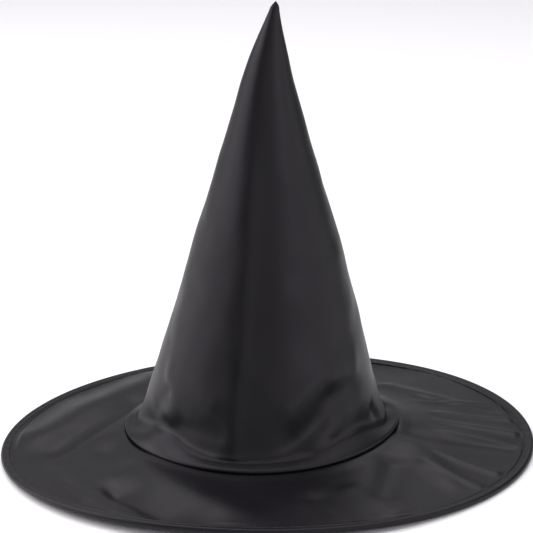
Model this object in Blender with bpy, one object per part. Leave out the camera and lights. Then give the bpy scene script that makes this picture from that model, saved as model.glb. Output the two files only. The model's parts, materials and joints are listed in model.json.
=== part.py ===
"""Costume witch hat: a pointed cloth crown with a hooped welt at its foot, on a wide brim with a wired edge.

Metres, +Z up. z = 0 is the plane that the brim's edge rests on, and the axis passes through the middle of the brim.
The front of the hat faces -Y and the crown's seam is at the back, +Y.
"""

import math

import bpy

MM = 0.001
SEGMENTS = 72
GAP = 0.3 * MM
CLOTH = 0.5 * MM
CROWN_CLOTH = 0.6 * MM
INTERLINING = 0.8 * MM

BRIM_RADIUS = 190 * MM
BRIM_HOLE_RADIUS = 88.5 * MM
BRIM_DROOP = 10 * MM
BRIM_STACK_EDGE = 185.5 * MM

BINDING_WIDTH = 8.5 * MM
BINDING_HEIGHT = 4.4 * MM
BINDING_WALL = 0.6 * MM
BINDING_ROUND = 0.8 * MM

EDGE_WIRE = 1.3 * MM
EDGE_WIRE_RING = 187.6 * MM
EDGE_SLEEVE_BORE = 1.8 * MM
EDGE_SLEEVE = 2.7 * MM

WELT_RADIUS = 97.6 * MM
WELT_ROLL = 2.4 * MM
HEM_INNER_RADIUS = 89.2 * MM
FOOT_HOOP = 1.8 * MM
FOOT_SLEEVE_BORE = 2.3 * MM
FOOT_SLEEVE = 3.0 * MM
HOOP_JOIN_GAP_DEG = 0.4
SLEEVE_HALF_DEG = 3.0

CROWN_SLOPE = 0.2796
CONE_APEX = 332.5 * MM
CROWN_TOP = 322.5 * MM
CROWN_STRAIGHT_FROM = 37 * MM
LEAN_FROM = 60 * MM
LEAN_SLOPE = 0.0277
TIP_CURL = 1.4
PIVOT = 255 * MM
BEND_LOW = 225 * MM
BEND_HIGH = 285 * MM

SWEATBAND_HEIGHT = 28 * MM
SWEATBAND_LOW = 10 * MM
SWEATBAND_LOW_RADIUS = 87.2 * MM
SWEATBAND_HIGH_RADIUS = 80.2 * MM
SWEATBAND_THICKNESS = 0.8 * MM

SEAM_WIDTH = 14 * MM
SEAM_THICKNESS = 0.6 * MM
SEAM_DEPTH = 2.2 * MM
THREAD = 0.4 * MM
LABEL_WIDTH = 16 * MM
LABEL_HEIGHT = 18 * MM
LABEL_THICKNESS = 0.3 * MM


def clear_scene():
    for item in list(bpy.data.objects):
        bpy.data.objects.remove(item)


def material(name, colour, roughness, metallic=0.0):
    made = bpy.data.materials.new(name)
    made.use_nodes = True
    shader = made.node_tree.nodes["Principled BSDF"]
    shader.inputs["Base Color"].default_value = (*colour, 1.0)
    shader.inputs["Roughness"].default_value = roughness
    shader.inputs["Metallic"].default_value = metallic
    return made


def body(name, points, faces, surface):
    """One named object from points in metres and faces that look outwards."""
    mesh = bpy.data.meshes.new(name)
    mesh.from_pydata(points, [], faces)
    mesh.update()
    made = bpy.data.objects.new(name, mesh)
    made.data.materials.append(surface)
    bpy.context.scene.collection.objects.link(made)
    return made


def crown_radius(z):
    """Outer radius of the crown's cone at a height."""
    return CROWN_SLOPE * (CONE_APEX - z)


def lean(z):
    """How far the crown's middle line has moved to +X at a height: straight from LEAN_FROM, curling near the point."""
    straight = LEAN_SLOPE * max(0.0, z - LEAN_FROM)
    return straight + TIP_CURL * max(0.0, z - PIVOT) ** 2


def brim_underside(radius):
    """Height of the brim's lowest cloth at a radius: flat under the crown, then falling in a straight line to the binding."""
    binding_inner = BRIM_RADIUS - BINDING_WIDTH
    share = (binding_inner - radius) / (binding_inner - WELT_RADIUS)
    return BINDING_WALL + GAP + BRIM_DROOP * min(1.0, max(0.0, share))


def full_turn(name, outline, surface, leaning=False):
    """A ring: the closed outline of (radius, height) points, listed anticlockwise, turned once round the axis."""
    points = []
    for step in range(SEGMENTS):
        turn = 2 * math.pi * step / SEGMENTS
        for radius, z in outline:
            shift = lean(z) if leaning else 0.0
            points.append((radius * math.cos(turn) + shift, radius * math.sin(turn), z))
    count = len(outline)
    faces = []
    for step in range(SEGMENTS):
        here = step * count
        after = (step + 1) % SEGMENTS * count
        for k in range(count):
            j = (k + 1) % count
            faces.append((here + k, after + k, after + j, here + j))
    return body(name, points, faces, surface)


def part_turn(name, outline, middle_deg, half_deg, steps, surface, bore=None):
    """A curved bar: a closed outline swept round the axis between two angles. With a bore it is a tube, open at both ends."""
    loops = [outline] if bore is None else [outline, bore]
    points = []
    for step in range(steps + 1):
        turn = math.radians(middle_deg - half_deg + 2 * half_deg * step / steps)
        for loop in loops:
            for radius, z in loop:
                points.append((radius * math.cos(turn), radius * math.sin(turn), z))
    count = len(outline)
    row = count * len(loops)
    faces = []
    for step in range(steps):
        here = step * row
        after = here + row
        for k in range(count):
            j = (k + 1) % count
            faces.append((here + k, after + k, after + j, here + j))
            if bore is not None:
                faces.append((here + count + j, after + count + j, after + count + k, here + count + k))
    last = steps * row
    if bore is None:
        faces.append(tuple(range(count)))
        faces.append(tuple(last + k for k in reversed(range(count))))
    else:
        for k in range(count):
            j = (k + 1) % count
            faces.append((k, j, count + j, count + k))
            faces.append((last + count + k, last + count + j, last + j, last + k))
    return body(name, points, faces, surface)


def round_outline(radius, z, size, sides=8):
    """Outline of a round bar of a given diameter, centred at a radius and height."""
    outline = []
    for k in range(sides):
        turn = 2 * math.pi * k / sides
        outline.append((radius + size / 2 * math.cos(turn), z + size / 2 * math.sin(turn)))
    return outline


def cone_outline(low, high, outer_depth, thickness, steps=4):
    """Outline of a wall inside the cone: outer_depth under the crown's surface, between two heights."""
    heights = [low + (high - low) * k / steps for k in range(steps + 1)]
    outer = [(crown_radius(z) - outer_depth, z) for z in heights]
    inner = [(radius - thickness, z) for radius, z in reversed(outer)]
    return outer + inner


def back_strip(name, low, high, depth, width, thickness, surface, steps=6, across=4):
    """A strip inside the back of the cone, width wide at every height, depth under the crown's surface."""
    points = []
    for step in range(steps + 1):
        z = low + (high - low) * step / steps
        for inward in (0.0, thickness):
            radius = crown_radius(z) - depth - inward
            for k in range(across + 1):
                turn = math.pi / 2 + (k / across - 0.5) * width / radius
                points.append((radius * math.cos(turn) + lean(z), radius * math.sin(turn), z))
    row = 2 * (across + 1)
    loop = list(range(across + 1)) + [across + 1 + k for k in reversed(range(across + 1))]
    faces = []
    for step in range(steps):
        for k in range(len(loop)):
            here = loop[k]
            beside = loop[(k + 1) % len(loop)]
            faces.append((step * row + here, step * row + beside, (step + 1) * row + beside, (step + 1) * row + here))
    faces.append(tuple(reversed(loop)))
    faces.append(tuple(steps * row + k for k in loop))
    return body(name, points, faces, surface)


def brim_layer(name, lift, thickness, surface):
    """One of the brim's three layers, lift above the brim's underside."""
    radii = (BRIM_HOLE_RADIUS, WELT_RADIUS, BRIM_RADIUS - BINDING_WIDTH, BRIM_STACK_EDGE)
    bottom = [(radius, brim_underside(radius) + lift) for radius in radii]
    top = [(radius, z + thickness) for radius, z in reversed(bottom)]
    return full_turn(name, bottom + top, surface)


def edge_binding(surface):
    """The folded tape round the brim's edge: a channel open inwards, flat underneath where the hat rests."""
    inner = BRIM_RADIUS - BINDING_WIDTH
    wall = BINDING_WALL
    bend = BINDING_ROUND
    outline = [
        (inner, 0.0),
        (BRIM_RADIUS - bend, 0.0),
        (BRIM_RADIUS, bend),
        (BRIM_RADIUS, BINDING_HEIGHT - bend),
        (BRIM_RADIUS - bend, BINDING_HEIGHT),
        (inner, BINDING_HEIGHT),
        (inner, BINDING_HEIGHT - wall),
        (BRIM_RADIUS - bend - wall / 2, BINDING_HEIGHT - wall),
        (BRIM_RADIUS - wall, BINDING_HEIGHT - bend - wall / 2),
        (BRIM_RADIUS - wall, bend + wall / 2),
        (BRIM_RADIUS - bend - wall / 2, wall),
        (inner, wall),
    ]
    return full_turn("edge_binding", outline, surface)


def welt_path(base):
    """The crown cloth's outer face: the turned-under hem, the roll round the hoop, then the flare up to the cone's foot."""
    roll = WELT_ROLL
    path = [(HEM_INNER_RADIUS, base)]
    for turn_deg in (-90, -45, 0, 45):
        turn = math.radians(turn_deg)
        out = WELT_RADIUS - roll + roll * math.cos(turn)
        path.append((out, base + roll + roll * math.sin(turn)))
    top_radius = crown_radius(CROWN_STRAIGHT_FROM)
    start_radius, start = path[-1]
    rise = CROWN_STRAIGHT_FROM - start
    for share in (0.17, 0.36, 0.58, 0.8, 1.0):
        fall = 1.0 - (1.0 - share) ** 1.5
        path.append((start_radius + (top_radius - start_radius) * fall, start + rise * share))
    return path


def inset(path, distance):
    """The path moved to its left by a distance, each corner along the mean of the two directions that meet there."""
    moved = []
    for k, (radius, z) in enumerate(path):
        before = path[max(0, k - 1)]
        after = path[min(len(path) - 1, k + 1)]
        along = (after[0] - before[0], after[1] - before[1])
        size = math.hypot(*along)
        moved.append((radius - along[1] / size * distance, z + along[0] / size * distance))
    return moved


def crown_cloth(base, surface):
    """The crown's outer cloth, from the hem under the welt to the bend near the point."""
    steps = 4
    low = CROWN_STRAIGHT_FROM
    path = welt_path(base)
    for k in range(1, steps + 1):
        z = low + (BEND_LOW - low) * k / steps
        path.append((crown_radius(z), z))
    inside = inset(path, CROWN_CLOTH)
    inside[-1] = (path[-1][0] - CROWN_CLOTH, path[-1][1])
    return full_turn("crown_cloth", path + inside[::-1], surface, leaning=True)


def tip_cloth(surface):
    """The outer cloth of the point, closed and rounded at its top."""
    low = BEND_HIGH + GAP
    shoulder = CROWN_TOP - 4.5 * MM
    outer = [(crown_radius(z), z) for z in (low, (low + shoulder) / 2, shoulder)]
    outer.append((crown_radius(shoulder) * 0.7, CROWN_TOP - 1.2 * MM))
    inner_top = CROWN_TOP - 1.6 * MM
    inner = [(radius - CROWN_CLOTH, z) for radius, z in outer[:3]]
    points = []
    for path in (outer, inner):
        for radius, z in path:
            for step in range(SEGMENTS // 2):
                turn = 4 * math.pi * step / SEGMENTS
                points.append((radius * math.cos(turn) + lean(z), radius * math.sin(turn), z))
    count = SEGMENTS // 2
    outer_tip = len(points)
    points.append((lean(CROWN_TOP), 0.0, CROWN_TOP))
    inner_tip = len(points)
    points.append((lean(inner_top), 0.0, inner_top))
    faces = []
    inner_start = len(outer) * count
    for step in range(count):
        after = (step + 1) % count
        for ring in range(len(outer) - 1):
            a = ring * count
            b = a + count
            faces.append((a + step, a + after, b + after, b + step))
        for ring in range(len(inner) - 1):
            a = inner_start + ring * count
            b = a + count
            faces.append((a + after, a + step, b + step, b + after))
        top = (len(outer) - 1) * count
        inner_ring = inner_start + (len(inner) - 1) * count
        faces.append((top + step, top + after, outer_tip))
        faces.append((inner_ring + after, inner_ring + step, inner_tip))
        faces.append((after, step, inner_start + step, inner_start + after))
    return body("tip_cloth", points, faces, surface)


def tip_tack(surface):
    """The seam ends bundled and tacked inside the point: a solid plug that follows the cone."""
    low = 308 * MM
    high = 315 * MM
    depth = CROWN_CLOTH + 2 * GAP
    count = SEGMENTS // 3
    points = []
    for z in (low, high):
        for step in range(count):
            turn = 2 * math.pi * step / count
            radius = crown_radius(z) - depth
            points.append((radius * math.cos(turn) + lean(z), radius * math.sin(turn), z))
    faces = [tuple(reversed(range(count))), tuple(range(count, 2 * count))]
    for step in range(count):
        after = (step + 1) % count
        faces.append((step, after, count + after, count + step))
    return body("tip_tack", points, faces, surface)


def sweatband(surface):
    """The ribbon that touches the head, inside the foot of the crown."""
    low = SWEATBAND_LOW
    high = low + SWEATBAND_HEIGHT
    outline = [
        (SWEATBAND_LOW_RADIUS, low),
        (SWEATBAND_HIGH_RADIUS, high),
        (SWEATBAND_HIGH_RADIUS - SWEATBAND_THICKNESS, high),
        (SWEATBAND_LOW_RADIUS - SWEATBAND_THICKNESS, low),
    ]
    return full_turn("sweatband", outline, surface)


def sweatband_inner(z):
    """Radius of the sweatband's inner face at a height."""
    share = (z - SWEATBAND_LOW) / SWEATBAND_HEIGHT
    outer = SWEATBAND_LOW_RADIUS + (SWEATBAND_HIGH_RADIUS - SWEATBAND_LOW_RADIUS) * share
    return outer - SWEATBAND_THICKNESS


def label(surface):
    """A blank care label hanging from the top of the sweatband at the back."""
    high = SWEATBAND_LOW + SWEATBAND_HEIGHT - 1.5 * MM
    low = high - LABEL_HEIGHT
    outer_low = sweatband_inner(low) - GAP
    outer_high = sweatband_inner(high) - GAP
    outline = [
        (outer_low, low),
        (outer_high, high),
        (outer_high - LABEL_THICKNESS, high),
        (outer_low - LABEL_THICKNESS, low),
    ]
    half_deg = math.degrees(LABEL_WIDTH / 2 / outer_low)
    return part_turn("care_label", outline, 90.0, half_deg, 4, surface)


def build():
    clear_scene()
    taffeta = material("taffeta", (0.016, 0.015, 0.017), 0.42)
    stiffener = material("interlining", (0.03, 0.03, 0.032), 0.9)
    ribbon = material("ribbon", (0.02, 0.02, 0.021), 0.6)
    thread = material("thread", (0.012, 0.012, 0.013), 0.55)
    steel = material("spring_steel", (0.55, 0.56, 0.58), 0.32, 1.0)
    nylon = material("nylon", (0.7, 0.7, 0.68), 0.4)
    white = material("label_satin", (0.8, 0.8, 0.78), 0.5)

    lift = 0.0
    brim_layer("brim_under_cloth", lift, CLOTH, taffeta)
    lift += CLOTH + GAP
    brim_layer("brim_interlining", lift, INTERLINING, stiffener)
    lift += INTERLINING + GAP
    brim_layer("brim_top_cloth", lift, CLOTH, taffeta)
    brim_top = brim_underside(WELT_RADIUS) + lift + CLOTH

    edge_binding(taffeta)
    wire_height = BINDING_HEIGHT / 2
    wire = round_outline(EDGE_WIRE_RING, wire_height, EDGE_WIRE)
    part_turn("edge_hoop", wire, 270.0, 180.0 - HOOP_JOIN_GAP_DEG, SEGMENTS, steel)
    bore = round_outline(EDGE_WIRE_RING, wire_height, EDGE_SLEEVE_BORE)
    sleeve = round_outline(EDGE_WIRE_RING, wire_height, EDGE_SLEEVE)
    part_turn("edge_hoop_sleeve", sleeve, 90.0, SLEEVE_HALF_DEG, 4, steel, bore)
    row = round_outline(BRIM_RADIUS - BINDING_WIDTH + 1.5 * MM, BINDING_HEIGHT + GAP + THREAD / 2, THREAD, 4)
    full_turn("binding_thread", row, thread)

    base = brim_top + GAP
    crown_cloth(base, taffeta)
    roll_centre = (WELT_RADIUS - WELT_ROLL, base + WELT_ROLL)
    part_turn("foot_hoop", round_outline(*roll_centre, FOOT_HOOP), 270.0, 180.0 - HOOP_JOIN_GAP_DEG, SEGMENTS, nylon)
    bore = round_outline(*roll_centre, FOOT_SLEEVE_BORE)
    sleeve = round_outline(*roll_centre, FOOT_SLEEVE)
    part_turn("foot_hoop_sleeve", sleeve, 90.0, 2 * SLEEVE_HALF_DEG, 4, steel, bore)
    row = round_outline(HEM_INNER_RADIUS + 1.5 * MM, base + CROWN_CLOTH + GAP + THREAD / 2, THREAD, 4)
    full_turn("foot_thread", row, thread)

    depth = CROWN_CLOTH + 1.5 * GAP
    low = 29 * MM
    full_turn("crown_interlining", cone_outline(low, BEND_LOW, depth, INTERLINING), stiffener, leaning=True)
    seam_low = SWEATBAND_LOW + SWEATBAND_HEIGHT + 2 * MM
    back_strip("crown_seam", seam_low, BEND_LOW, SEAM_DEPTH, SEAM_WIDTH, SEAM_THICKNESS, taffeta)

    bend_low = BEND_LOW + GAP
    full_turn("bend_cloth", cone_outline(bend_low, BEND_HIGH, 0.0, CROWN_CLOTH), taffeta, leaning=True)
    full_turn("bend_interlining", cone_outline(bend_low, BEND_HIGH, depth, INTERLINING), stiffener, leaning=True)
    back_strip("bend_seam", bend_low, BEND_HIGH, SEAM_DEPTH, SEAM_WIDTH, SEAM_THICKNESS, taffeta)

    tip_low = BEND_HIGH + GAP
    tip_cloth(taffeta)
    tip_stiff_top = 306 * MM
    full_turn("tip_interlining", cone_outline(tip_low, tip_stiff_top, depth, INTERLINING, 2), stiffener, leaning=True)
    back_strip("tip_seam", tip_low, tip_stiff_top, SEAM_DEPTH, SEAM_WIDTH / 2, SEAM_THICKNESS, taffeta, steps=2)
    tip_tack(thread)

    sweatband(ribbon)
    row_z = SWEATBAND_LOW + 2.5 * MM
    row = round_outline(sweatband_inner(row_z) - GAP - THREAD / 2, row_z, THREAD, 4)
    full_turn("sweatband_thread", row, thread)
    label(white)


build()
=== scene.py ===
"""A costume witch hat of black satin-finish taffeta, standing on its wired brim.

Metres, +Z up. The hat's front faces -Y, the crown's seam is at the back, and z = 0 is the table.
Angles round the hat are counter-clockwise from +X seen from above, so the front is at -90 degrees.
"""

import json
import math

import bpy
import numpy as np
from mathutils import Matrix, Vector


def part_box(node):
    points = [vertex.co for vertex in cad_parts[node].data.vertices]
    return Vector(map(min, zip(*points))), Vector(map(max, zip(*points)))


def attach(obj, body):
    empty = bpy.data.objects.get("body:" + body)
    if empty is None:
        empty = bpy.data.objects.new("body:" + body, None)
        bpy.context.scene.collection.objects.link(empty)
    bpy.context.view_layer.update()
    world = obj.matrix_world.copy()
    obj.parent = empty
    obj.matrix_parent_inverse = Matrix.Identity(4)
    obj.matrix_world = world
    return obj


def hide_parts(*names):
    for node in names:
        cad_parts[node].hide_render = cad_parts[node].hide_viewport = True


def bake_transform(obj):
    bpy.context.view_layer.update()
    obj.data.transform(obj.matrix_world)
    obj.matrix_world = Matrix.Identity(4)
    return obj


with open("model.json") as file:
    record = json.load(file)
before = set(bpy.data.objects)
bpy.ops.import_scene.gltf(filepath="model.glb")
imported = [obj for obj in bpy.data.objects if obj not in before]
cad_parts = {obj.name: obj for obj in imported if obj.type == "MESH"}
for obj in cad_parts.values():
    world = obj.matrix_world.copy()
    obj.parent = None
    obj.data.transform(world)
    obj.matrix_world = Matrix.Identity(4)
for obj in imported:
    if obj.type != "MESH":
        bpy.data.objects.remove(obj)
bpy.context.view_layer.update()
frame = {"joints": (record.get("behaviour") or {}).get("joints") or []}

# ---------------------------------------------------------------------------------------------
# Brim. Two rings of black polyester taffeta with a stiff non-woven ring between them, quilted
# together only at their edges. The crown's foot holds the brim up, and it falls from there to the
# wired edge, pulling into soft wrinkles. The wire lifts a few millimetres off the table in places.
# ---------------------------------------------------------------------------------------------

MM = 0.001
TURN = 2 * math.pi
BRIM_COLUMNS = 1024
BRIM_ROWS = 94
BRIM_CLOTH = 0.5 * MM
BINDING_SHOWS = 8.5 * MM
GROOVE_DEPTH = 0.9 * MM
brim_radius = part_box("edge_binding")[1].x
tape_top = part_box("edge_binding")[1].z
tape_inner = brim_radius - BINDING_SHOWS
brim_hole = 88.5 * MM
foot_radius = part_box("crown_cloth")[1].x


def smooth(x):
    """Goes from 0 at x = 0 to 1 at x = 1 with flat ends."""
    x = np.clip(x, 0.0, 1.0)
    return x * x * (3.0 - 2.0 * x)


def hump(x, width):
    """A bell of height 1 at x = 0 that has fallen to a third at x = width."""
    return np.exp(-((x / width) ** 2))


def apart(angle, middle_deg):
    """Signed angle in radians from a middle angle, the short way round."""
    return (angle - math.radians(middle_deg) + math.pi) % TURN - math.pi


def ripple(angle, along, seed, fewest, most, drift):
    """Irregular waviness round the hat: sines of fewest to most whole waves, whose phases drift along
    the cloth."""
    rng = np.random.default_rng(seed)
    total = 0.0
    for waves in range(fewest, most + 1):
        phase, turn, size = rng.uniform(0, TURN), rng.uniform(-drift, drift), rng.uniform(0.4, 1.0)
        total = total + size * np.sin(waves * angle + phase + turn * along)
    return total / math.sqrt(most - fewest + 1)


def crumple(u, v, seed, shortest, longest, count=14):
    """Fine irregular waviness of slack cloth: straight waves in random directions, from shortest to
    longest, each one's crests bent a little by a slower wave."""
    rng = np.random.default_rng(seed)
    total = 0.0
    for _ in range(count):
        way, phase = rng.uniform(0, TURN, 2)
        length = shortest * (longest / shortest) ** rng.uniform(0, 1)
        across = (u * math.cos(way) + v * math.sin(way)) / length
        bent = 0.8 * np.sin(TURN * 0.4 * across + way)
        total = total + (length / longest) * np.sin(TURN * across + phase + bent)
    return total / math.sqrt(count / 2)


def fold(u, v, start, end, lift, left, right, fade):
    """Relief of one fold on flat cloth: lift along a straight line, falling like a bell over the widths
    left and right of the line's direction, and over fade past its two ends."""
    along = np.subtract(end, start)
    length = math.hypot(*along)
    run = ((u - start[0]) * along[0] + (v - start[1]) * along[1]) / length
    off = ((v - start[1]) * along[0] - (u - start[0]) * along[1]) / length
    beyond = np.maximum(np.maximum(-run, run - length), 0.0)
    return lift * hump(off, np.where(off > 0, left, right)) * hump(beyond, fade)


def grid_mesh(name, points, uv, flip=False, round_rows=False, closed_rows=()):
    """A mesh from rows x columns of points, with each row's last point joined to its first, and the last
    row to the first if the rows go round too. Each of closed_rows, 0 or -1, is filled with one face. uv
    is in metres and has one more row or column than the points in a round direction."""
    rows, columns = points.shape[:2]
    i, j = np.meshgrid(np.arange(rows if round_rows else rows - 1), np.arange(columns), indexing="ij")
    below, beside = (i + 1) % rows, (j + 1) % columns
    corners = [i * columns + j, i * columns + beside, below * columns + beside, below * columns + j]
    places = [(i, j), (i, j + 1), (i + 1, j + 1), (i + 1, j)]
    if flip:
        corners, places = corners[::-1], places[::-1]
    quads = np.stack(corners, axis=-1).reshape(-1, 4)
    faces = quads.tolist()
    loops = np.stack([uv[a, b] for a, b in places], axis=2).reshape(-1, 2)
    for row in closed_rows:
        rim = np.arange(columns)
        if (row == 0) != flip:
            rim = rim[::-1]
        faces.append((rim + row % rows * columns).tolist())
        loops = np.concatenate([loops, uv[row, rim]])
    mesh = bpy.data.meshes.new(name)
    mesh.from_pydata(points.reshape(-1, 3), [], faces)
    layer = mesh.uv_layers.new(name="UVMap")
    layer.data.foreach_set("uv", loops.astype(np.float32).ravel())
    mesh.polygons.foreach_set("use_smooth", np.ones(len(faces), bool))
    mesh.update()
    made = bpy.data.objects.new(name, mesh)
    bpy.context.scene.collection.objects.link(made)
    return made


def dress(piece, material, slot, *nodes):
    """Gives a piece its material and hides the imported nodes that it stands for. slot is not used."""
    piece.data.materials.append(material)
    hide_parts(*nodes)


WAVE_REPEAT = math.pi / 10
CLOUD_SCALE = 38.0
FINE_WEAVE = (0.22 * MM, 0.3 * MM)
FLEECE_DIMPLES = (2.2 * MM, 2.2 * MM)
BLACK = ((0.0020, 0.0017, 0.0026), (0.0033, 0.0029, 0.0041))
CHARCOAL = ((0.016, 0.016, 0.017), (0.03, 0.03, 0.031))


def surface(name, colour, second, roughness, spread, specular):
    """A material whose colour wanders between two near shades, and whose roughness wanders by spread."""
    material = bpy.data.materials.new(name)
    material.use_nodes = True
    tree = material.node_tree
    shader = tree.nodes["Principled BSDF"]
    shader.inputs["Specular IOR Level"].default_value = specular
    place = tree.nodes.new("ShaderNodeTexCoord")
    cloud = tree.nodes.new("ShaderNodeTexNoise")
    cloud.inputs["Scale"].default_value = CLOUD_SCALE
    cloud.inputs["Detail"].default_value = 5.0
    tree.links.new(place.outputs["Object"], cloud.inputs["Vector"])
    shade = tree.nodes.new("ShaderNodeMix")
    shade.data_type = "RGBA"
    shade.inputs["A"].default_value = (*colour, 1.0)
    shade.inputs["B"].default_value = (*second, 1.0)
    tree.links.new(cloud.outputs["Fac"], shade.inputs["Factor"])
    tree.links.new(shade.outputs["Result"], shader.inputs["Base Color"])
    rough = tree.nodes.new("ShaderNodeMapRange")
    rough.inputs["From Min"].default_value = 0.3
    rough.inputs["From Max"].default_value = 0.7
    rough.inputs["To Min"].default_value = roughness - spread
    rough.inputs["To Max"].default_value = roughness + spread
    tree.links.new(cloud.outputs["Fac"], rough.inputs["Value"])
    tree.links.new(rough.outputs["Result"], shader.inputs["Roughness"])
    return material, tree, shader


def bumped(tree, shader, height, depth):
    """Adds a height pattern of a depth in metres on top of whatever bumps the shader already has."""
    bump = tree.nodes.new("ShaderNodeBump")
    bump.inputs["Strength"].default_value = 1.0
    bump.inputs["Distance"].default_value = depth
    if shader.inputs["Normal"].links:
        tree.links.new(shader.inputs["Normal"].links[0].from_socket, bump.inputs["Normal"])
    tree.links.new(height, bump.inputs["Height"])
    tree.links.new(bump.outputs["Normal"], shader.inputs["Normal"])


def plain_weave(tree, warp_pitch, weft_pitch):
    """Height of a plain weave on the UV map: warp and weft bands that cross, each a little uneven."""
    uv = tree.nodes.new("ShaderNodeTexCoord")
    height = None
    for direction, pitch in (("X", warp_pitch), ("Y", weft_pitch)):
        band = tree.nodes.new("ShaderNodeTexWave")
        band.bands_direction = direction
        band.inputs["Scale"].default_value = WAVE_REPEAT / pitch
        band.inputs["Distortion"].default_value = 0.6
        band.inputs["Detail"].default_value = 1.0
        tree.links.new(uv.outputs["UV"], band.inputs["Vector"])
        if height is None:
            height = band.outputs["Fac"]
            continue
        crossed = tree.nodes.new("ShaderNodeMath")
        crossed.operation = "MULTIPLY"
        tree.links.new(height, crossed.inputs[0])
        tree.links.new(band.outputs["Fac"], crossed.inputs[1])
        height = crossed.outputs["Value"]
    return height


def speckle(tree, source, scale, stretch=(1.0, 1.0, 1.0), detail=3.0):
    """Height of a noise on Object or UV coordinates, stretched by three factors."""
    place = tree.nodes.new("ShaderNodeTexCoord")
    mapping = tree.nodes.new("ShaderNodeMapping")
    mapping.inputs["Scale"].default_value = stretch
    noise = tree.nodes.new("ShaderNodeTexNoise")
    noise.inputs["Scale"].default_value = scale
    noise.inputs["Detail"].default_value = detail
    tree.links.new(place.outputs[source], mapping.inputs["Vector"])
    tree.links.new(mapping.outputs["Vector"], noise.inputs["Vector"])
    return noise.outputs["Fac"]


def taffeta_material(name, roughness):
    """Black taffeta: a fine plain weave with heavier weft slubs, faintly violet where it shines,
    slightly crumpled."""
    material, tree, shader = surface(name, *BLACK, roughness, 0.04, 0.22)
    shader.inputs["Specular Tint"].default_value = (0.97, 0.94, 1.0, 1.0)
    shader.inputs["Sheen Weight"].default_value = 0.008
    shader.inputs["Sheen Tint"].default_value = (0.85, 0.7, 1.0, 1.0)
    shader.inputs["Sheen Roughness"].default_value = 0.4
    bumped(tree, shader, speckle(tree, "Object", 26.0), 0.16 * MM)
    bumped(tree, shader, speckle(tree, "Object", 110.0), 0.07 * MM)
    bumped(tree, shader, speckle(tree, "Object", 420.0), 0.03 * MM)
    bumped(tree, shader, speckle(tree, "UV", 1.0, (60.0, 1900.0, 1.0)), 0.018 * MM)
    bumped(tree, shader, plain_weave(tree, *FINE_WEAVE), 0.006 * MM)
    return material


def fleece_material():
    """Non-woven stiffener: pressed charcoal fibres, dull, with bonding dimples."""
    material, tree, shader = surface("interlining", *CHARCOAL, 0.88, 0.06, 0.3)
    bumped(tree, shader, speckle(tree, "Object", 900.0, (1.0, 1.0, 0.25)), 0.12 * MM)
    bumped(tree, shader, plain_weave(tree, *FLEECE_DIMPLES), 0.1 * MM)
    return material


taffeta = taffeta_material("taffeta", 0.41)
fleece = fleece_material()


def edge_lift(angle):
    """How far the wired edge is off the table at an angle: a slow warp of two and three waves round
    the hat."""
    two = -1.71 * np.cos(2 * angle) + 1.37 * np.sin(2 * angle)
    three = 0.35 * np.cos(3 * angle) + 0.66 * np.sin(3 * angle)
    return (2.62 + two + three) * MM


FOOT_SHIFT = -3.6 * MM


def foot_lift(angle):
    """How far the head opening is bent up at its two sides: the round foot sits on an opening made for
    a head, and the side on +X rises a little more."""
    return (5.0 + 1.0 * np.cos(angle)) * MM * np.cos(angle) ** 2


def outward(radius):
    """0 at the crown's foot, 1 at the inside of the binding and a little over 1 at the edge."""
    return np.clip((radius - foot_radius) / (tape_inner - foot_radius), 0.0, None)


def warp(angle, radius):
    """How far the warp of the wire lifts the brim: nothing at the crown's foot, all of it at the edge."""
    return edge_lift(angle) * outward(radius) ** 1.5


def spot(angle_deg, radius_mm):
    """The place on the flat brim at an angle and a distance from its middle."""
    way = math.radians(angle_deg)
    return radius_mm * MM * math.cos(way), radius_mm * MM * math.sin(way)


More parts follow.
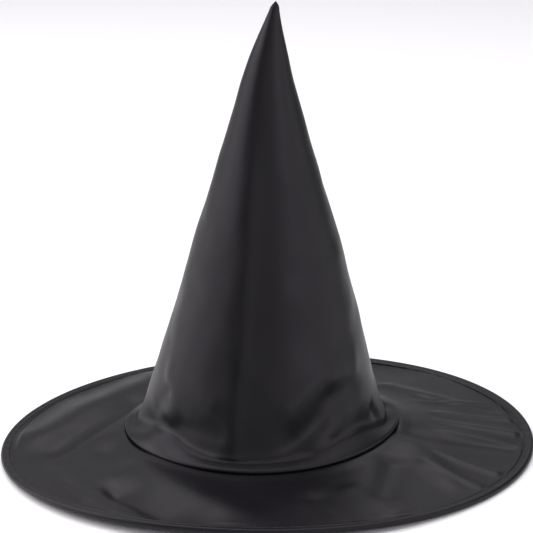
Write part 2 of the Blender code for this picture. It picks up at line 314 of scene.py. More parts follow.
def brim_relief(x, y, radius, angle):
    """Height of the brim's folds: a broad roll at the left with a hollow inside it, a swelling round the
    welt, slack diagonal folds at the left front, broad pulls that run from the foot to the front and
    right edge, fine wrinkles that end at the binding there, and slow slackness all the way round."""
    high = fold(x, y, spot(122, 150), spot(176, 160), 5.4 * MM, 20 * MM, 26 * MM, 26 * MM)
    high += fold(x, y, spot(146, 112), spot(-174, 146), -4.6 * MM, 12 * MM, 14 * MM, 18 * MM)
    past_welt = radius - foot_radius - 1.2 * MM
    high += 0.9 * MM * hump(past_welt, np.where(past_welt < 0, 1.6 * MM, 6 * MM))
    high += fold(x, y, spot(-160, 116), spot(-133, 145), -4.2 * MM, 16 * MM, 11 * MM, 18 * MM)
    high += fold(x, y, spot(-133, 148), spot(-114, 172), -3.8 * MM, 12 * MM, 8 * MM, 14 * MM)
    high += fold(x, y, spot(-138, 120), spot(-101, 152), 4.6 * MM, 18 * MM, 18 * MM, 24 * MM)
    high += fold(x, y, spot(-145, 166), spot(-126, 177), 1.3 * MM, 4.5 * MM, 4 * MM, 12 * MM)
    high += fold(x, y, spot(-155, 160), spot(-137, 171), 1.3 * MM, 5 * MM, 5 * MM, 14 * MM)
    high += fold(x, y, spot(-15, 100), spot(-9, 176), -2.4 * MM, 10 * MM, 11 * MM, 8 * MM)
    high += fold(x, y, spot(-25, 116), spot(-37, 152), 2.2 * MM, 11 * MM, 10 * MM, 20 * MM)
    high += fold(x, y, spot(-40, 118), spot(-58, 150), -3.2 * MM, 13 * MM, 11 * MM, 8 * MM)
    high += fold(x, y, spot(-65, 135), spot(-61, 180), 1.6 * MM, 10 * MM, 7 * MM, 8 * MM)
    high += fold(x, y, spot(-75, 140), spot(-73, 176), -1.6 * MM, 10 * MM, 9 * MM, 10 * MM)
    high += fold(x, y, spot(44, 130), spot(12, 172), 1.7 * MM, 8 * MM, 6 * MM, 12 * MM)
    high += fold(x, y, spot(28, 136), spot(16, 168), -1.3 * MM, 5 * MM, 6 * MM, 8 * MM)
    for pull_deg in (20, 8, -1, -8, -27, -36):
        inner, outer = spot(pull_deg + 3, 134), spot(pull_deg, 178)
        high += fold(x, y, inner, outer, 1.3 * MM, 5.5 * MM, 4.5 * MM, 10 * MM)
    slack = 0.6 * MM * ripple(angle, radius, 11, 5, 14, 30.0)
    slack = slack + 0.3 * MM * crumple(x, y, 31, 45 * MM, 120 * MM)
    slack = slack * smooth(1.4 * outward(radius))
    return (high + slack) * (1.0 - 0.6 * smooth((radius - tape_inner + 5 * MM) / (5 * MM)))


FLATTENING = 0.6 * MM


def brim_ring(name, foot, edge, lowest, give=1.0, flip=False):
    """A ring of cloth on the brim: foot high under the crown and edge high at the binding, plus the warp
    of the wire, and the folds times give. Where a fold would go under the lowest height, it flattens out
    there instead. The ring's middle moves to the crown's foot, which sits a little to one side."""
    angle = np.arange(BRIM_COLUMNS) / BRIM_COLUMNS * TURN
    radius = np.linspace(brim_hole, tape_inner + 2 * MM, BRIM_ROWS)[:, None]
    x, y = radius * np.cos(angle), radius * np.sin(angle)
    near = 1.0 - np.minimum(outward(radius), 1.0)
    z = foot + (edge - foot) * (1.0 - near) + warp(angle, radius) + foot_lift(angle) * near ** 1.6
    above = z + give * brim_relief(x, y, radius, angle) - lowest
    z = lowest + (above + np.sqrt(above ** 2 + FLATTENING ** 2)) / 2
    points = np.stack([x + FOOT_SHIFT * near, y, z], axis=2)
    uv = np.concatenate([points, points[:, :1]], axis=1)[:, :, :2]
    made = grid_mesh(name, points, uv, flip)
    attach(made, "hat")
    return made


brim_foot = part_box("brim_top_cloth")[1].z
brim_top = brim_ring("brim_top", brim_foot, tape_top - GROOVE_DEPTH, 1.7 * MM, flip=True)
dress(brim_top, taffeta, "taffeta", "brim_top_cloth")

stiff_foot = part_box("brim_interlining")[1].z - 0.4 * MM
stiff = brim_ring("brim_stiffener", stiff_foot, 2.2 * MM, 1.0 * MM, 0.94, flip=True)
dress(stiff, fleece, "interlining", "brim_interlining")

under_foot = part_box("brim_under_cloth")[1].z - BRIM_CLOTH
brim_under = brim_ring("brim_under", under_foot, 0.9 * MM, 0.4 * MM, 0.88)
dress(brim_under, taffeta, "taffeta", "brim_under_cloth")

# ---------------------------------------------------------------------------------------------
# Edge hoop. A round spring-steel wire bent into a ring and joined at the back by a crimped steel
# sleeve. It lies loose inside the binding and keeps the brim's edge open.
# ---------------------------------------------------------------------------------------------

STEEL_COLOUR = (0.55, 0.56, 0.58)
WIRE_RING = 187.6 * MM
WIRE_SIZE = 1.3 * MM
CLOSED_END = 0.02 * MM
HOOP_GAP = 0.4
SLEEVE_SIZE = 2.7 * MM
SLEEVE_BORE = 1.8 * MM


def steel_material():
    """Drawn steel wire: bright, with faint lengthwise die marks."""
    material, tree, shader = surface("spring_steel", STEEL_COLOUR, (0.48, 0.49, 0.51), 0.32, 0.08, 0.5)
    shader.inputs["Metallic"].default_value = 1.0
    bumped(tree, shader, speckle(tree, "UV", 1.0, (120.0, 9000.0, 1.0)), 0.01 * MM)
    return material


def ring_bar(name, ring, height, angles, sizes, hollow=False, shift=0.0, sides=12):
    """A round bar bent round the axis: a circle of each diameter in sizes, carried along the angles at a
    height that may change with the angle. A solid bar's ends close, and a hollow one's path comes back
    through its bore."""
    turn = np.arange(sides) / sides * TURN
    angles, sizes = np.asarray(angles)[:, None], np.asarray(sizes)[:, None]
    out = ring + sizes / 2 * np.cos(turn)
    z = height(angles) + sizes / 2 * np.sin(turn)
    points = np.stack([out * np.cos(angles) + shift, out * np.sin(angles), z], axis=2)
    extra = 1 if hollow else 0
    lengths = np.append(angles, angles[:1] if hollow else [])[:, None] * ring
    round_it = np.arange(sides + 1)[None] / sides * np.max(sizes) * math.pi
    uv = np.stack(np.broadcast_arrays(lengths, round_it), axis=2)[: len(angles) + extra]
    made = grid_mesh(name, points, uv, True, hollow, () if hollow else (0, -1))
    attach(made, "hat")
    return made


def hoop_stations(gap_deg, size, count):
    """Angles and diameters of a hoop that starts and ends at the back, with a gap in degrees to each
    side, and closed ends."""
    gap = math.radians(gap_deg)
    angles = math.pi / 2 + np.linspace(gap, TURN - gap, count)
    sizes = np.concatenate([[CLOSED_END], np.full(count, size), [CLOSED_END]])
    return np.concatenate([angles[:1], angles, angles[-1:]]), sizes


def sleeve_stations(half_deg, size, bore, count=9):
    """Angles and diameters of a short tube across the hoop's joint, pinched by a crimp near each end."""
    share = np.linspace(-1, 1, count)
    outside = size * (1.0 - 0.16 * hump(np.abs(share) - 0.55, 0.2))
    angles = math.pi / 2 + math.radians(half_deg) * share
    return np.concatenate([angles, angles[::-1]]), np.concatenate([outside, np.full(count, bore)])


def wire_height(angle):
    """The wire's middle: half way up the binding, riding the brim's warp."""
    return tape_top / 2 + warp(angle, WIRE_RING)


steel = steel_material()
edge_hoop = ring_bar("edge_wire", WIRE_RING, wire_height, *hoop_stations(HOOP_GAP, WIRE_SIZE, 361))
dress(edge_hoop, steel, "spring_steel", "edge_hoop")
edge_stations = sleeve_stations(3.0, SLEEVE_SIZE, SLEEVE_BORE)
edge_sleeve = ring_bar("edge_crimp", WIRE_RING, wire_height, *edge_stations, True)
dress(edge_sleeve, steel, "spring_steel", "edge_hoop_sleeve")

# ---------------------------------------------------------------------------------------------
# Edge binding. A bias tape of the same taffeta, folded round the raw edge of the brim and the wire,
# and sewn down with one row of black thread close to its inner edge, which pulls a groove.
# ---------------------------------------------------------------------------------------------

TAPE = 0.35 * MM
STITCH_RADIUS = tape_inner + 1.5 * MM
STITCH_LENGTH = 2.6 * MM
STITCH_PITCH = 3.2 * MM
THREAD_SIZE = 0.45 * MM


def tape_path(inset):
    """(radius, height) round the folded tape, inset inside its outer face: along the bottom from the
    inner edge, round the wire, and back along the top. The stitches pull a groove near the inner edge."""
    middle = tape_top / 2
    bead = middle - inset
    turn = np.radians(np.linspace(-90, 90, 15))
    bend_radius = brim_radius - middle
    out = np.linspace(tape_inner, bend_radius, 16)[:-1]
    dip = 0.95 * MM * hump(out - STITCH_RADIUS, 0.9 * MM) + 0.35 * MM * hump(out - tape_inner, 0.6 * MM)
    dip = dip + 0.25 * MM * hump(out - bend_radius + 2 * MM, 1.3 * MM)
    round_wire = np.stack([bend_radius + bead * np.cos(turn), middle + bead * np.sin(turn)], axis=1)
    top = np.stack([out, middle + bead - dip], axis=1)
    bottom = np.stack([out, middle - bead + 0.6 * dip], axis=1)
    return np.concatenate([bottom, round_wire, top[::-1]])


def thread_material():
    """Spun polyester thread: black, dull, with its twist as slanting ridges."""
    material, tree, shader = surface("thread", (0.009, 0.009, 0.01), (0.016, 0.016, 0.017), 0.6, 0.05, 0.4)
    bumped(tree, shader, speckle(tree, "UV", 1.0, (2600.0, 900.0, 1.0)), 0.05 * MM)
    return material


def stitch_row(name, ring, height, pitch, length, size, lay, shift=0.0):
    """A row of stitches round the axis, each a small arched bean along the row. lay turns each one's up
    direction from straight up, 0, to straight inwards, 90 degrees."""
    count = round(TURN * ring / pitch)
    middle = (np.arange(count) + 0.5) / count * TURN
    share = np.linspace(-1, 1, 5)
    turn = np.arange(6) / 6 * TURN
    along = middle[:, None, None] + share[None, :, None] * length / 2 / ring
    thick = size / 2 * np.sqrt(1.02 - share[None, :, None] ** 2)
    rise = thick * np.sin(turn) - size * 0.45 * share[None, :, None] ** 2
    side = thick * np.cos(turn)
    tilt = math.radians(lay)
    out = ring + side * math.cos(tilt) - rise * math.sin(tilt)
    z = height(along) + side * math.sin(tilt) + rise * math.cos(tilt)
    points = np.stack([out * np.cos(along) + shift, out * np.sin(along), z], axis=3)
    rows, columns = len(share), len(turn)
    i, j = np.meshgrid(np.arange(rows - 1), np.arange(columns), indexing="ij")
    here, beside = i * columns + j, i * columns + (j + 1) % columns
    quad = np.stack([here, here + columns, beside + columns, beside], axis=-1)
    start = np.arange(count)[:, None, None] * rows * columns
    quads = (quad.reshape(1, -1, 4) + start).reshape(-1, 4)
    rim = np.arange(columns)
    ends = np.stack([rim + start[:, 0], rim[::-1] + (rows - 1) * columns + start[:, 0]])
    mesh = bpy.data.meshes.new(name)
    mesh.from_pydata(points.reshape(-1, 3), [], quads.tolist() + ends.reshape(-1, columns).tolist())
    layer = mesh.uv_layers.new(name="UVMap")
    of_point = np.stack(np.broadcast_arrays(along * ring, turn * size / 2), axis=3).reshape(-1, 2)
    corner = np.empty(len(mesh.loops), np.int32)
    mesh.loops.foreach_get("vertex_index", corner)
    layer.data.foreach_set("uv", of_point[corner].astype(np.float32).ravel())
    mesh.polygons.foreach_set("use_smooth", np.ones(len(mesh.polygons), bool))
    mesh.update()
    made = bpy.data.objects.new(name, mesh)
    bpy.context.scene.collection.objects.link(made)
    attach(made, "hat")
    return made


angle = np.arange(BRIM_COLUMNS) / BRIM_COLUMNS * TURN
section = np.concatenate([tape_path(0.0), tape_path(TAPE)[::-1]])
radius, height = section[:, :1], section[:, 1:]
pucker = 0.12 * MM * ripple(angle, radius, 5, 60, 110, 400.0) * smooth((brim_radius - radius) / (5 * MM))
points = np.stack(
    [
        radius * np.cos(angle),
        radius * np.sin(angle),
        height + warp(angle, radius) + pucker * np.sign(height - tape_top / 2),
    ],
    axis=2,
)
run = np.append(np.linalg.norm(np.diff(section, axis=0), axis=1).cumsum(), 0.0)
run = np.concatenate([[0.0], run])[:, None]
along = np.append(angle, TURN)[None] * brim_radius
uv = np.stack([(along + run) / math.sqrt(2), (along - run) / math.sqrt(2)], axis=2)
binding = grid_mesh("binding", points, uv, round_rows=True)
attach(binding, "hat")
dress(binding, taffeta, "taffeta", "edge_binding")

thread = thread_material()


def binding_row_height(angle):
    """The binding's stitches lie in the groove on its upper face."""
    return tape_top - GROOVE_DEPTH + warp(angle, STITCH_RADIUS)


binding_stitch = (STITCH_PITCH, STITCH_LENGTH, THREAD_SIZE)
binding_row = stitch_row("binding_stitches", STITCH_RADIUS, binding_row_height, *binding_stitch, 0)
dress(binding_row, thread, "thread", "binding_thread")

# ---------------------------------------------------------------------------------------------
# Foot hoop. A round nylon cord in the fold at the foot of the crown, joined at the back by a crimped
# steel sleeve. It holds the crown's foot round.
# ---------------------------------------------------------------------------------------------

FOOT_CORD = 1.8 * MM
FOOT_CRIMP = 3.0 * MM
FOOT_BORE = 2.3 * MM
ROLL = 1.8 * MM
crown_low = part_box("crown_cloth")[0].z


def nylon_material():
    """Extruded nylon: milky, smooth, with faint drawing lines."""
    material, tree, shader = surface("nylon", (0.72, 0.72, 0.7), (0.66, 0.66, 0.63), 0.38, 0.05, 0.5)
    shader.inputs["Subsurface Weight"].default_value = 0.15
    shader.inputs["Subsurface Scale"].default_value = 1.0 * MM
    bumped(tree, shader, speckle(tree, "UV", 1.0, (60.0, 5000.0, 1.0)), 0.01 * MM)
    return material


def foot_height(angle):
    """The foot hoop's middle: the middle of the crown's roll."""
    return crown_low + ROLL + foot_lift(angle)


cord_ring = foot_radius - ROLL
cord_stations = hoop_stations(HOOP_GAP, FOOT_CORD, 241)
foot_hoop = ring_bar("foot_cord", cord_ring, foot_height, *cord_stations, shift=FOOT_SHIFT)
dress(foot_hoop, nylon_material(), "nylon", "foot_hoop")
foot_stations = sleeve_stations(6.0, FOOT_CRIMP, FOOT_BORE)
foot_sleeve = ring_bar("foot_crimp", cord_ring, foot_height, *foot_stations, True, FOOT_SHIFT)
dress(foot_sleeve, steel, "spring_steel", "foot_hoop_sleeve")

# ---------------------------------------------------------------------------------------------
# Crown. One fan-shaped piece of taffeta closed by a seam at the back. Its hem turns under on the
# brim, rolls round the foot hoop and spreads from the cone in a short flange. The cloth is a little
# too wide for its hoop, so above the flange it tucks in on both sides of the front.
# ---------------------------------------------------------------------------------------------

CROWN_COLUMNS = 576
CONE_SLOPE = 0.2796
CONE_APEX = 332.5 * MM
LEAN_FROM = 60 * MM
TIP_CURL = 1.2
TIP_ROUND = 6 * MM
TIP_ROWS = 8
HEM_RADIUS = 89.2 * MM
SEAM_RIDGE = 7 * MM
crown_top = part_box("tip_cloth")[1].z
pivot = frame["joints"][0]["pos_m"]


def cone_radius(z):
    """The crown's outer radius: a straight cone with a slight belly half way up, drawn in a little at
    the point."""
    belly = 1.3 * MM * hump(z - 155 * MM, 45 * MM)
    return CONE_SLOPE * (CONE_APEX - z) + belly - 1.0 * MM * smooth((z - 280 * MM) / (35 * MM))


def lean(z):
    """Sideways shift of the crown's middle line: a straight lean, a step aside at the foot, and a curl
    at the point."""
    straight = pivot[0] / (pivot[2] - LEAN_FROM) * (z - LEAN_FROM)
    straight = straight - 2.4 * MM * smooth((LEAN_FROM + 50 * MM - z) / (90 * MM))
    return straight + TIP_CURL * np.clip(z - pivot[2], 0.0, None) ** 2


def cone_foot(angle):
    """Height of the corner between flange and cone: low at the front, higher under the tucks, highest at
    the back."""
    back = smooth((np.abs(apart(angle, -90)) - math.radians(82)) / math.radians(40))
    left = 8.5 * hump(apart(angle, -147), math.radians(19))
    right = 7 * hump(apart(angle, -40), math.radians(24))
    return (19.5 + 14.5 * back + left + right) * MM


def bulge(angle):
    """1 where the flange swells outwards under a tuck, 0 where it is a hollow curve."""
    left = 1.4 * hump(apart(angle, -147), math.radians(20))
    right = 1.3 * hump(apart(angle, -36), math.radians(22))
    return smooth(left + right)


def tuck_depth(angle):
    """How far the cone's cloth sinks just above the flange: deepest at the left, shallow in front, and
    two tucks at the right."""
    left = 5.6 * hump(apart(angle, -142), math.radians(19))
    left = left + 3.8 * hump(apart(angle, -170), math.radians(11))
    front = 2.6 * hump(apart(angle, -117), math.radians(13))
    front = front + 1.4 * hump(apart(angle, -88), math.radians(26))
    right = 3.6 * hump(apart(angle, -30), math.radians(14))
    right = right + 2.0 * hump(apart(angle, -52), math.radians(7))
    return (left + front + right) * MM


def pattern(angle_deg, z_mm):
    """The place on the unrolled cone at an angle and a height: distance round from the front, and height."""
    return math.radians(angle_deg + 90) * cone_radius(z_mm * MM), z_mm * MM


def cone_relief(angle, z):
    """How far the cone's cloth stands out: two long soft creases, the slanting folds at the right front
    with their pockets and bumps, dents and a fold by the left tuck, a swelling at the left, slow
    waviness, and the seam at the back with its groove and flat allowances."""
    u = apart(angle, -90) * cone_radius(z)
    out = fold(u, z, pattern(-104, 34), pattern(-108, 200), 2.3 * MM, 17 * MM, 7 * MM, 30 * MM)
    out += fold(u, z, pattern(-31, 58), pattern(-27, 143), 1.1 * MM, 7 * MM, 14 * MM, 14 * MM)
    out += fold(u, z, pattern(-73, 31), pattern(-57, 46), -3.0 * MM, 9 * MM, 9 * MM, 12 * MM)
    out += fold(u, z, pattern(-51, 55), pattern(-38, 56), -1.5 * MM, 7 * MM, 9 * MM, 8 * MM)
    out += fold(u, z, pattern(-76, 53), pattern(-58, 70), 2.3 * MM, 13 * MM, 9 * MM, 12 * MM)
    out += fold(u, z, pattern(-50, 71), pattern(-34, 72), 1.5 * MM, 12 * MM, 7 * MM, 8 * MM)
    out += fold(u, z, pattern(-54, 34), pattern(-54, 46), 1.8 * MM, 6 * MM, 7 * MM, 7 * MM)
    out += fold(u, z, pattern(-157, 43), pattern(-150, 54), -1.2 * MM, 6 * MM, 6 * MM, 6 * MM)
    out += fold(u, z, pattern(-144, 40), pattern(-141, 47), 1.0 * MM, 7 * MM, 7 * MM, 6 * MM)
    out += fold(u, z, pattern(-134, 38), pattern(-112, 36), -1.6 * MM, 9 * MM, 6 * MM, 8 * MM)
    out += fold(u, z, pattern(-150, 66), pattern(-118, 54), 1.4 * MM, 12 * MM, 7 * MM, 8 * MM)
    out += fold(u, z, pattern(-15, 25), pattern(-20, 35), -1.7 * MM, 4 * MM, 4 * MM, 5 * MM)
    out += 1.2 * MM * hump(apart(angle, 180), math.radians(45)) * hump(z - 85 * MM, 35 * MM)
    slow = 0.38 * MM * ripple(angle, z, 3, 2, 7, 16.0) + 0.28 * MM * crumple(u, z, 8, 20 * MM, 70 * MM, 18)
    below_point = 0.25 + 0.75 * smooth((crown_top - z) / (120 * MM))
    out = out + slow * smooth((z - 20 * MM) / (20 * MM)) * below_point
    beside = np.abs(apart(angle, 90)) * cone_radius(z)
    allowance = 0.45 * MM * (1.0 - smooth((beside - SEAM_RIDGE) / (1.2 * MM)))
    groove = 0.7 * MM * hump(beside, 0.7 * MM) * (1.0 + 0.35 * np.sin(z * TURN / (4 * MM)))
    return out + (allowance - groove) * smooth((cone_radius(z) - 6 * MM) / (10 * MM))


def crown_grid(angle):
    """(radius, height) of every row at every angle, from the hem to the point: hem, roll round the hoop,
    flange from the roll to the foot of the cone, cone, and rounded point."""
    one = np.ones_like(angle)
    up = foot_lift(angle)
    hem = np.linspace(HEM_RADIUS, cord_ring, 4)[:-1, None] * one
    turn = np.radians(np.linspace(-90, 66, 13))[:, None]
    roll_radius = (cord_ring + ROLL * np.cos(turn)) * one
    roll_height = crown_low + ROLL + ROLL * np.sin(turn) + up
    foot = cone_foot(angle)
    share = np.linspace(0, 1, 18)[1:-1, None]
    behind = smooth((np.abs(apart(angle, -90)) - math.radians(80)) / math.radians(30))
    hollow_fall = 1.0 - (1.0 - share) ** 1.6
    fall = share + (hollow_fall - share) * behind
    lip = (2.4 - 1.8 * bulge(angle)) * MM
    flange_radius = roll_radius[-1] + (cone_radius(foot) + lip - roll_radius[-1]) * fall
    flange_height = roll_height[-1] + (foot - roll_height[-1]) * share ** (0.85 + 0.4 * behind)
    shoulder = crown_top - TIP_ROUND
    z = foot + (shoulder - foot) * np.linspace(0, 1, 118)[:, None] ** 1.6
    rise = z - foot
    tuck = tuck_depth(angle) * (1.0 - np.exp(-rise / (2.0 * MM))) * hump(rise, 13 * MM)
    relief = cone_relief(angle, z) * smooth(rise / (3 * MM)) * smooth((crown_top - z) / (60 * MM))
    fading = np.exp(-rise / ((12.0 - 9.5 * bulge(angle)) * MM))
    cone = cone_radius(z) + lip * fading - tuck + relief
    tip_share = np.linspace(0, 1, TIP_ROWS + 1)[1:, None]
    tip = np.maximum(cone[-1] * (1.0 - tip_share ** 1.7), CLOSED_END)
    tip_height = (shoulder + TIP_ROUND * tip_share) * one
    radii = np.concatenate([hem, roll_radius, flange_radius, cone, tip])
    heights = np.concatenate([crown_low + up + 0.0 * hem, roll_height, flange_height, z, tip_height])
    return radii, heights


def crown_points(radii, heights, angle):
    """Places in space of (radius, height) rows, with the crown's lean."""
    return np.stack([radii * np.cos(angle) + lean(heights), radii * np.sin(angle), heights], axis=2)


def fan_uv(heights, angle):
    """The cloth's own coordinates on its fan-shaped pattern: slant distance from the point, swung by
    the angle."""
    slant = (CONE_APEX - heights) * math.hypot(1.0, CONE_SLOPE)
    swing = np.append(angle, angle[0] + TURN) * math.sin(math.atan(CONE_SLOPE))
    slant = np.concatenate([slant, slant[:, :1]], axis=1)
    return np.stack([slant * np.sin(swing), slant * np.cos(swing)], axis=2)


seam_steps = np.linspace(-1, 1, 25) * 9 * MM / cone_radius(cone_foot(math.pi / 2))
rest = np.linspace(seam_steps[-1], TURN + seam_steps[0], CROWN_COLUMNS)[1:-1]
angle = math.pi / 2 + np.concatenate([seam_steps, rest])
radii, heights = crown_grid(angle)
cone_points = crown_points(radii, heights, angle)
crown = grid_mesh("crown", cone_points, fan_uv(heights, angle), closed_rows=(-1,))
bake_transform(crown)
dress(crown, taffeta, "taffeta", "crown_cloth", "bend_cloth", "tip_cloth")


def foot_row_height(angle):
    """The hem's stitches lie on the hem, inside the roll."""
    return crown_low + 0.4 * MM + foot_lift(angle)


foot_row_ring = HEM_RADIUS + 1.5 * MM
foot_stitch = (3.6 * MM, 3 * MM, THREAD_SIZE)
foot_row = stitch_row("foot_stitches", foot_row_ring, foot_row_height, *foot_stitch, 0, FOOT_SHIFT)
dress(foot_row, thread, "thread", "foot_thread")

# ---------------------------------------------------------------------------------------------
# Crown stiffener, seam allowances and tack. The same non-woven as in the brim, ironed to the inside
# of the crown up to near the point. The seam's two allowances are pressed open over it, and where
# they end the cloth inside the point is gathered and tacked with thread.
# ---------------------------------------------------------------------------------------------

STIFF_DEPTH = 0.9 * MM
STIFF_TOP = 306 * MM
FLANGE_ROWS = 3 + 13 + 16
STRIP_ROWS = 120
STRIP_COLUMNS = 15
SEAM_LOW = 40 * MM
ALLOWANCE = 6.6 * MM

cone_radii = radii[FLANGE_ROWS:-TIP_ROWS:2, ::2]
cone_heights = heights[FLANGE_ROWS:-TIP_ROWS:2, ::2]
kept = cone_heights.max(axis=1) < STIFF_TOP
stiff_radii, stiff_heights, stiff_angle = cone_radii[kept] - STIFF_DEPTH, cone_heights[kept], angle[::2]
inner_cone = crown_points(stiff_radii, stiff_heights, stiff_angle)
crown_stiff = grid_mesh("crown_stiffener", inner_cone, fan_uv(stiff_heights, stiff_angle))
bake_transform(crown_stiff)
dress(crown_stiff, fleece, "interlining", "crown_interlining", "bend_interlining", "tip_interlining")


def closed_ends(strip):
    """A tube of rows with one more row at each end, drawn in almost to the middle of the end row."""
    first, last = strip[:1].mean(axis=1, keepdims=True), strip[-1:].mean(axis=1, keepdims=True)
    return np.concatenate([first + 0.01 * (strip[:1] - first), strip, last + 0.01 * (strip[-1:] - last)])


def seam_strip():
    """The two allowances at the back as one thin strip with a groove down its middle: a closed loop round
    the strip, narrowing towards the point, carried up the inside of the cone."""
    z = np.linspace(SEAM_LOW, STIFF_TOP, STRIP_ROWS)[:, None]
    across = np.linspace(-1, 1, STRIP_COLUMNS)
    half = ALLOWANCE * smooth((CONE_APEX - z) / (90 * MM)) + 0.6 * MM
    side = np.concatenate([across, across[::-1]])
    face = np.repeat([1.7, 2.2], STRIP_COLUMNS) * MM
    face = face + 0.35 * MM * hump(side, 0.12) * (face > 1.9 * MM)
    depth = face + 0.18 * MM * ripple(side * 2.0, z, 21, 1, 3, 90.0) * np.abs(side)
    out = cone_radius(z) - depth
    turn = math.pi / 2 + side * half / out
    strip = crown_points(out, z + 0.0 * turn, turn)
    uv = np.stack(np.broadcast_arrays(np.append(side, side[0]) * half, z), axis=2)
    return closed_ends(strip), np.concatenate([uv[:1], uv, uv[-1:]])


strip, strip_uv = seam_strip()
back_seam = grid_mesh("seam_allowances", strip, strip_uv, closed_rows=(0, -1))
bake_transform(back_seam)
wrong_side = taffeta_material("taffeta_wrong_side", 0.6)
dress(back_seam, wrong_side, "taffeta", "crown_seam", "bend_seam", "tip_seam")

tack_low, tack_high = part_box("tip_tack")[0].z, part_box("tip_tack")[1].z
turn = (np.arange(48) / 48 * TURN)[None]
share = np.linspace(0, 1, 30)[:, None]
z = tack_low + (tack_high - tack_low) * share
wraps = 0.18 * MM * np.sin(share * 9 * TURN + turn)
plump = np.sqrt(np.clip(4.2 * share * (1.0 - share), 0.0, 1.0))
out = np.maximum((cone_radius(z) - 1.7 * MM) * plump + wraps, CLOSED_END)
uv = np.stack(np.broadcast_arrays(np.append(turn, TURN)[None] * 4 * MM, z), axis=2)
tack = grid_mesh("point_tack", crown_points(out, z + 0.0 * turn, turn), uv, closed_rows=(0, -1))
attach(tack, "crown_tip")
dress(tack, thread, "thread", "tip_tack")

# ---------------------------------------------------------------------------------------------
# Sweatband and care label. A ribbed black ribbon sewn inside the crown's foot along its lower edge,
# pressed in where the crown tucks. A blank satin care label hangs from it at the back.
# ---------------------------------------------------------------------------------------------

BAND = 0.8 * MM
BAND_SLOPE = 0.25
BAND_ROWS = 12
BAND_COLUMNS = 480
BAND_FOLLOWS = 0.8
BAND_STITCH_UP = 2.5 * MM
LABEL_WIDTH = 16 * MM
LABEL_HEIGHT = 18 * MM
LABEL_CLOTH = 0.3 * MM
band_low, band_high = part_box("sweatband")[0].z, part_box("sweatband")[1].z
band_low_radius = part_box("sweatband")[1].x


def band_points(out, turn, z):
    """Places in space of something on the ribbon: the ribbon sits to one side with the foot, and rises
    with it."""
    z = z + BAND_FOLLOWS * foot_lift(turn)
    return np.stack([out * np.cos(turn) + FOOT_SHIFT, out * np.sin(turn), z], axis=-1)


def band_radius(angle, z):
    """The ribbon's outer face: a gentle cone, pushed inwards behind the crown's tucks and hollows."""
    plain = band_low_radius - BAND_SLOPE * (z - band_low)
    up = smooth((z - band_low) / (band_high - band_low))
    return plain - (tuck_depth(angle) + np.maximum(-cone_relief(angle, z), 0.0)) * up


def ribbon_material():
    """Grosgrain: close ribs across the ribbon's length, slightly glossy on their tops."""
    material, tree, shader = surface("ribbon", (0.012, 0.012, 0.013), (0.02, 0.02, 0.021), 0.58, 0.06, 0.4)
    uv = tree.nodes.new("ShaderNodeTexCoord")
    rib = tree.nodes.new("ShaderNodeTexWave")
    rib.bands_direction = "X"
    rib.inputs["Scale"].default_value = WAVE_REPEAT / (0.9 * MM)
    rib.inputs["Distortion"].default_value = 0.3
    tree.links.new(uv.outputs["UV"], rib.inputs["Vector"])
    bumped(tree, shader, rib.outputs["Fac"], 0.12 * MM)
    bumped(tree, shader, speckle(tree, "UV", 1.0, (3000.0, 700.0, 1.0)), 0.03 * MM)
    return material


angle = np.arange(BAND_COLUMNS) / BAND_COLUMNS * TURN
up = np.linspace(band_low, band_high, BAND_ROWS)
section_z = np.concatenate([up, up[::-1]])[:, None]
inward = np.repeat([0.0, BAND], BAND_ROWS)[:, None]
edge = 0.25 * MM * (hump(section_z - band_low, 0.5 * MM) + hump(section_z - band_high, 0.5 * MM))
out = band_radius(angle, section_z) - inward + edge * np.where(inward > 0, 1.0, -1.0)
height_uv = np.append(section_z, section_z[:1])[:, None]
uv = np.stack(np.broadcast_arrays(np.append(angle, TURN)[None] * band_low_radius, height_uv), axis=2)
sweatband = grid_mesh("sweat_ribbon", band_points(out, angle, section_z + 0.0 * out), uv, round_rows=True)
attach(sweatband, "hat")
dress(sweatband, ribbon_material(), "ribbon", "sweatband")

band_row_z = band_low + BAND_STITCH_UP
band_row_ring = band_radius(0.0, band_row_z) - BAND - 0.1 * MM


def band_row_height(angle):
    """The ribbon's stitches run along its lower edge."""
    return band_row_z + BAND_FOLLOWS * foot_lift(angle)


band_stitch = (3 * MM, 2.4 * MM, THREAD_SIZE)
band_row = stitch_row("ribbon_stitches", band_row_ring, band_row_height, *band_stitch, 90, FOOT_SHIFT)
dress(band_row, thread, "thread", "sweatband_thread")


def label_material():
    """White satin ribbon: smooth, with a fine warp."""
    material, tree, shader = surface("label_satin", (0.78, 0.78, 0.76), (0.72, 0.72, 0.7), 0.42, 0.04, 0.5)
    bumped(tree, shader, plain_weave(tree, 0.2 * MM, 0.35 * MM), 0.01 * MM)
    return material


def label_loop(rows=25, columns=13):
    """The blank label as a thin closed tube: its cross-section's outer and inner face as one loop,
    carried down from its top edge, curling a little away from the ribbon at its free end."""
    share = np.linspace(0, 1, rows)[:, None]
    across = np.linspace(-0.5, 0.5, columns)
    across = np.concatenate([across, across[::-1]])[None]
    thick = np.repeat([0.0, LABEL_CLOTH], columns)[None]
    z = band_high - 1.5 * MM - LABEL_HEIGHT * share + 0.0 * across
    curl = 1.6 * MM * smooth((share - 0.35) / 0.65) * (1.0 + 0.5 * across)
    out = band_radius(math.pi / 2, z) - BAND - LABEL_CLOTH - thick - curl
    turn = math.pi / 2 + across * LABEL_WIDTH / band_low_radius
    points = band_points(out, turn, z)
    flat_x = np.append(across, across[:, :1], axis=1) * LABEL_WIDTH
    uv = np.stack(np.broadcast_arrays(flat_x, share * LABEL_HEIGHT), axis=2)
    return closed_ends(points), np.concatenate([uv[:1], uv, uv[-1:]])


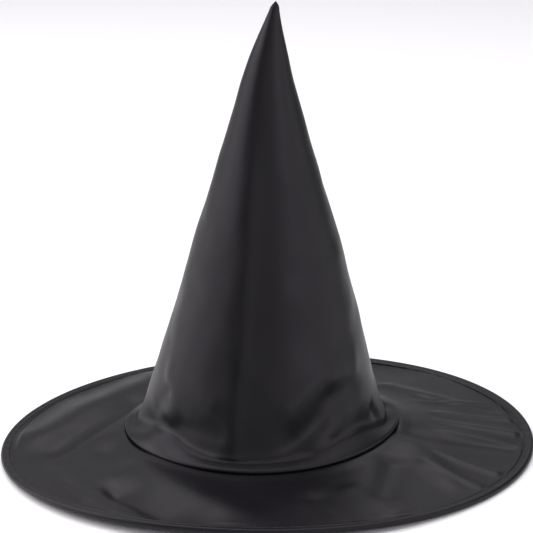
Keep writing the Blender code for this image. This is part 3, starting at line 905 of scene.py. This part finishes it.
label_points, label_uv = label_loop()
label = grid_mesh("blank_label", label_points, label_uv, True, closed_rows=(0, -1))
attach(label, "hat")
dress(label, label_material(), "label_satin", "care_label")

# ---------------------------------------------------------------------------------------------
# Studio. A white table, one broad light overhead, a low and a high panel at the left, the right, the
# back and the front, and a fill at the right front, all faintly cool. The gaps between them leave the
# dark upright bands on the crown.
# ---------------------------------------------------------------------------------------------

bpy.ops.mesh.primitive_plane_add(size=30)
floor = bpy.context.object
floor.name = "floor"
white = bpy.data.materials.new("white_table")
white.use_nodes = True
white.node_tree.nodes["Principled BSDF"].inputs["Base Color"].default_value = (0.92, 0.92, 0.92, 1)
white.node_tree.nodes["Principled BSDF"].inputs["Roughness"].default_value = 0.9
floor.data.materials.append(white)

bpy.context.scene.view_settings.view_transform = "Standard"
world = bpy.data.worlds.new("studio")
world.use_nodes = True
world.node_tree.nodes["Background"].inputs["Color"].default_value = (1, 1, 1, 1)
world.node_tree.nodes["Background"].inputs["Strength"].default_value = 0.10
bpy.context.scene.world = world

COOL = (0.985, 0.96, 1.0)
LIGHTS_AROUND = 0.15


def panel(name, azimuth_deg, elevation_deg, distance, width, height, power):
    """A rectangular soft light that faces the hat from a direction round it."""
    data = bpy.data.lights.new(name, "AREA")
    data.shape = "RECTANGLE"
    data.size = width
    data.size_y = height
    data.energy = power
    data.color = COOL
    light = bpy.data.objects.new(name, data)
    azimuth, elevation = math.radians(azimuth_deg), math.radians(elevation_deg)
    level = math.cos(elevation)
    away = np.array([math.cos(azimuth) * level, math.sin(azimuth) * level, math.sin(elevation)])
    light.location = away * distance + np.array([0, 0, LIGHTS_AROUND])
    back = light.location.copy()
    back.z -= LIGHTS_AROUND
    light.rotation_euler = back.to_track_quat("Z", "Y").to_euler()
    bpy.context.scene.collection.objects.link(light)


panel("overhead", -90, 88, 2.2, 3.0, 3.0, 46)
panel("left_low", 177, 6, 1.8, 2.1, 0.7, 8)
panel("left_high", 177, 30, 1.8, 2.1, 0.7, 19)
panel("right_low", -8, 6, 2.0, 1.8, 0.7, 6)
panel("right_high", -8, 30, 2.0, 1.8, 0.7, 7.5)
panel("behind", 106, 14, 2.4, 3.2, 2.0, 6)
panel("behind_high", 106, 52, 2.4, 3.0, 0.8, 23)
panel("fill_low", -91, 8, 2.8, 2.5, 0.6, 3)
panel("fill_high", -91, 24, 2.8, 2.5, 0.6, 10)
panel("fill_right", -48, 16, 2.6, 1.8, 0.8, 14)

# ---------------------------------------------------------------------------------------------
# Camera. A long lens two metres off, in front of the hat and above it, looking a little down, and
# turned slightly about its own axis.
# ---------------------------------------------------------------------------------------------

LENS = 188.4
LOOKS_DOWN = 16.02
CAMERA_ROLL = -1.29
CAMERA_PLACE = (0.0023, -1.8845, 0.6747)

camera_data = bpy.data.cameras.new("camera")
camera_data.lens = LENS
camera = bpy.data.objects.new("camera", camera_data)
tilt = Matrix.Rotation(math.radians(90 - LOOKS_DOWN), 4, "X")
roll = Matrix.Rotation(math.radians(CAMERA_ROLL), 4, "Z")
camera.matrix_world = Matrix.Translation(CAMERA_PLACE) @ tilt @ roll
bpy.context.scene.collection.objects.link(camera)
bpy.context.scene.camera = camera
